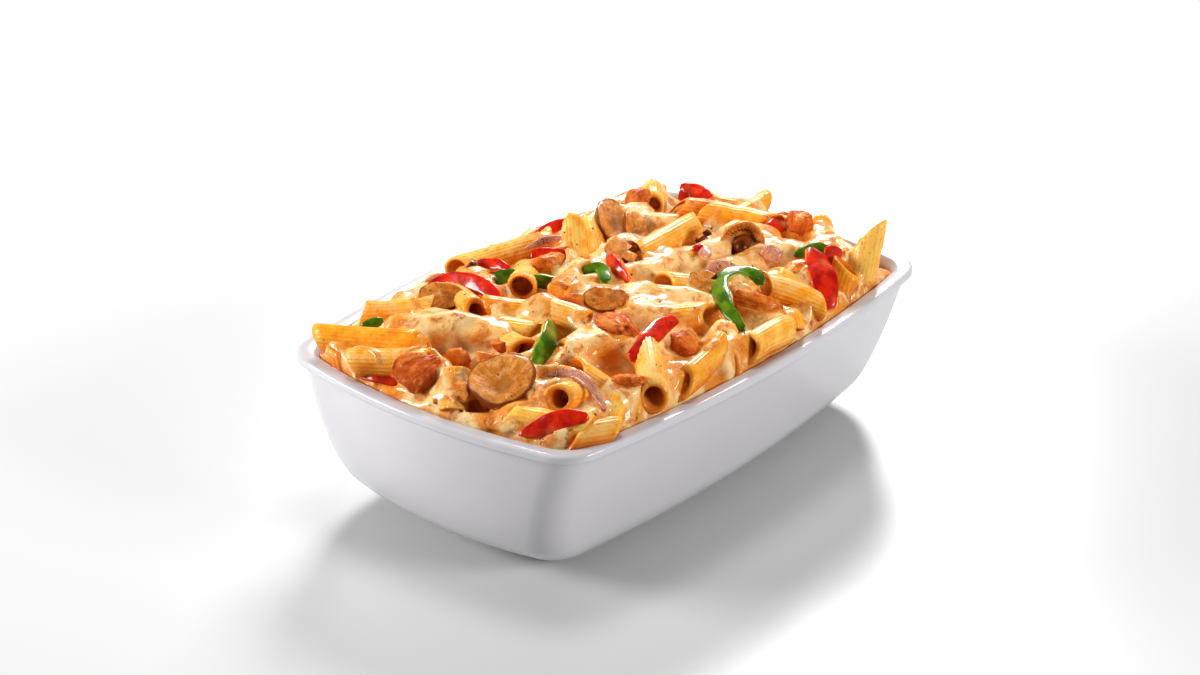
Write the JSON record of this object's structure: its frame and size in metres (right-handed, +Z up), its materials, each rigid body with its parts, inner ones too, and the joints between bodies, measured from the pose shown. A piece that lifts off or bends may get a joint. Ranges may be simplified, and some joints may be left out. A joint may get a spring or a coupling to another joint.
{
  "type": "baked penne in a dish",
  "caption": "Rectangular white baking dish heaped with baked penne under melted cheese, with peppers, mushroom, chicken and red onion on top.",
  "frame": {"origin": "middle of the bounding box in plan, at the level of the dish's underside", "axes": "+X along the dish's length, +Y along its width, +Z up. The corner nearest the viewer of the picture is at -X, -Y."},
  "size_m": [0.225, 0.1498, 0.0858],
  "materials": {
    "glazed_white": "smooth white glaze",
    "pasta_and_cheese": "moist pasta under glossy melted cheese, browned in spots",
    "red_pepper": "roasted, slightly glossy",
    "green_pepper": "roasted, slightly glossy",
    "red_onion": "roasted, translucent at the edges",
    "mushroom": "roasted, moist",
    "chicken": "fibrous, browned"
  },
  "bodies": {
    "root": {"dish": "glazed_white", "pasta_heap": "pasta_and_cheese", "green_pepper_01": "green_pepper", "green_pepper_02": "green_pepper", "green_pepper_03": "green_pepper", "green_pepper_04": "green_pepper", "green_pepper_05": "green_pepper", "green_pepper_06": "green_pepper", "red_pepper_01": "red_pepper", "red_pepper_02": "red_pepper", "red_pepper_03": "red_pepper", "red_pepper_04": "red_pepper", "red_pepper_05": "red_pepper", "red_pepper_06": "red_pepper", "red_pepper_07": "red_pepper", "red_pepper_08": "red_pepper", "red_pepper_09": "red_pepper", "red_pepper_10": "red_pepper", "red_pepper_11": "red_pepper", "red_pepper_12": "red_pepper", "onion_01": "red_onion", "onion_02": "red_onion", "onion_03": "red_onion", "onion_04": "red_onion", "onion_05": "red_onion", "mushroom_01": "mushroom", "mushroom_02": "mushroom", "mushroom_03": "mushroom", "mushroom_04": "mushroom", "mushroom_05": "mushroom", "mushroom_06": "mushroom", "mushroom_07": "mushroom", "mushroom_08": "mushroom", "mushroom_09": "mushroom", "mushroom_cap_01": "mushroom", "chicken_01": "chicken", "chicken_02": "chicken", "chicken_03": "chicken", "chicken_04": "chicken", "chicken_05": "chicken", "chicken_06": "chicken", "chicken_07": "chicken", "chicken_08": "chicken", "chicken_09": "chicken", "chicken_10": "chicken", "chicken_11": "chicken", "chicken_12": "chicken"}
  },
  "joints": []
}
